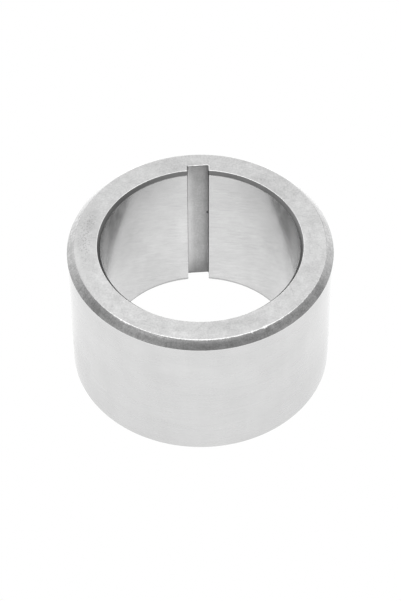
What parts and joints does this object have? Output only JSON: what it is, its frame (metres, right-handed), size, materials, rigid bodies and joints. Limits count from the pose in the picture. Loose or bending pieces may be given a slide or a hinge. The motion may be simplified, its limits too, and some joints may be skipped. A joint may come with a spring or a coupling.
{
  "type": "spacer bushing",
  "caption": "Turned steel spacer bushing: a short thick-walled ring with chamfered ends and a keyway along its bore, which holds parts apart on a keyed shaft.",
  "frame": {"origin": "centre of the bore at the lower end face, on which the ring stands", "axes": "+Z along the bore, up to the other end face; +Y from the axis towards the middle of the keyway"},
  "size_m": [0.048, 0.048, 0.03],
  "materials": {
    "bare_steel": "bare steel: finely turned outside, ground end faces, honed bore, broached keyway"
  },
  "bodies": {
    "root": {"spacer_bushing": "bare_steel"}
  },
  "joints": []
}
